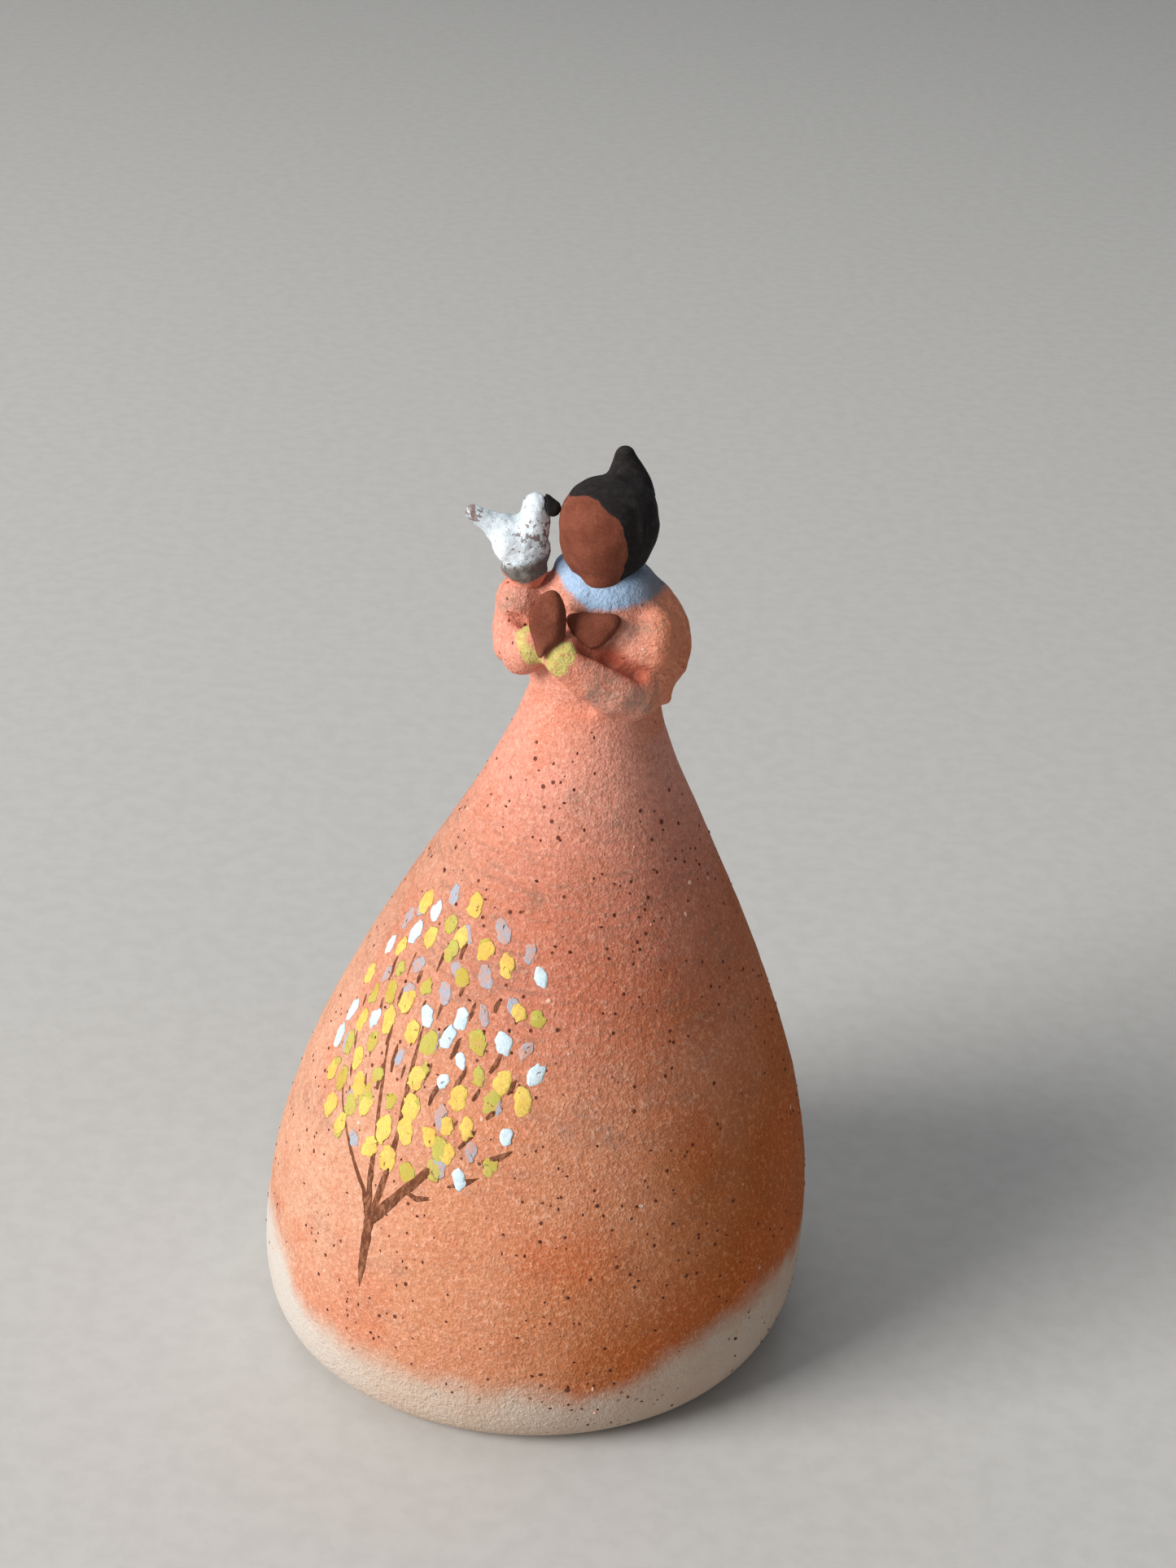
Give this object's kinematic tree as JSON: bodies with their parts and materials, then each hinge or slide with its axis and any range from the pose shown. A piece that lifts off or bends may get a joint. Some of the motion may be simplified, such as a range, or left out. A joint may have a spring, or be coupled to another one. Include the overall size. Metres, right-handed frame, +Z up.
{
  "type": "clay folk doll",
  "caption": "Hand-built clay doll with a hollow bell skirt, crossed arms, a topknot and a small bird on one shoulder; a tree of life is painted on the skirt.",
  "frame": {"origin": "centre of the foot, on the surface the doll stands on", "axes": "+Z up; the doll's front looks along -Y; its right shoulder, with the bird, is towards -X"},
  "size_m": [0.0762, 0.0762, 0.1282],
  "materials": {
    "coral_slip": "matt coral slip over sandy clay",
    "brown_slip": "matt red-brown slip",
    "black_slip": "matt black-brown slip",
    "pale_blue_slip": "thin pale blue slip",
    "white_slip": "matt white slip over dark clay",
    "grey_wash": "grey-black wash",
    "leaf_yellow": "thick matt yellow slip",
    "leaf_green": "matt olive green slip",
    "blossom_white": "thick raised white slip",
    "bark_brown": "thin dark brown slip",
    "haze_lavender": "thin lavender-grey slip",
    "cuff_green": "brushed yellow-green slip"
  },
  "bodies": {
    "root": {"skirt": "coral_slip", "bodice": "coral_slip", "right_sleeve": "coral_slip", "left_sleeve": "coral_slip", "right_hand": "brown_slip", "left_hand": "brown_slip", "collar": "pale_blue_slip", "neck": "brown_slip", "head": "brown_slip", "hair": "black_slip", "hair_bun": "black_slip", "bird_foot": "grey_wash", "bird_body": "white_slip", "bird_tail": "white_slip", "bird_beak": "black_slip"}
  },
  "joints": []
}
